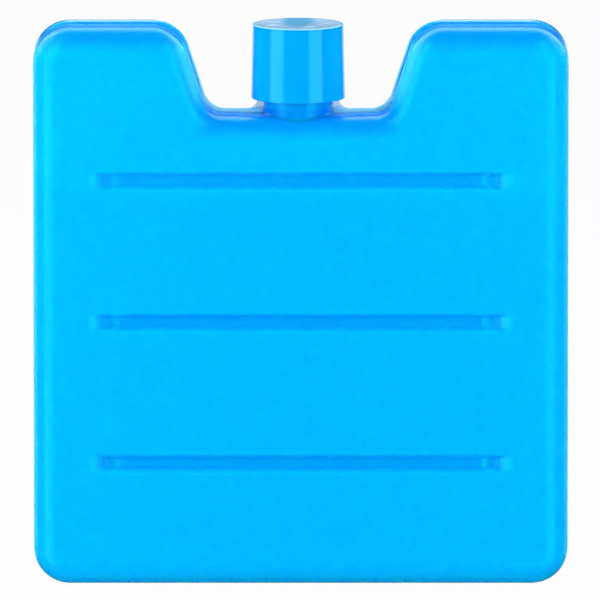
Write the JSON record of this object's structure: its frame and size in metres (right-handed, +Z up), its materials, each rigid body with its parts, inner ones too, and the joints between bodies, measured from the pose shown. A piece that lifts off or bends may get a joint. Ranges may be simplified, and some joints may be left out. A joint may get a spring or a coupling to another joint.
{
  "type": "reusable ice pack",
  "caption": "Flat rounded freezer block with grooved faces, a notch between its shoulders and a capped filling neck in the notch; keeps food cold in a cool box.",
  "frame": {"origin": "middle of the flat foot that the block stands on", "axes": "+X to the right along the width, +Y from the front face to the back face, +Z up from the foot to the shoulders"},
  "size_m": [0.105, 0.02, 0.1109],
  "materials": {
    "shell": "satin sky blue polyethylene, slightly translucent",
    "cap": "smooth sky blue moulded cap"
  },
  "bodies": {
    "root": {"pack_body": "shell", "cap": "cap"}
  },
  "joints": []
}
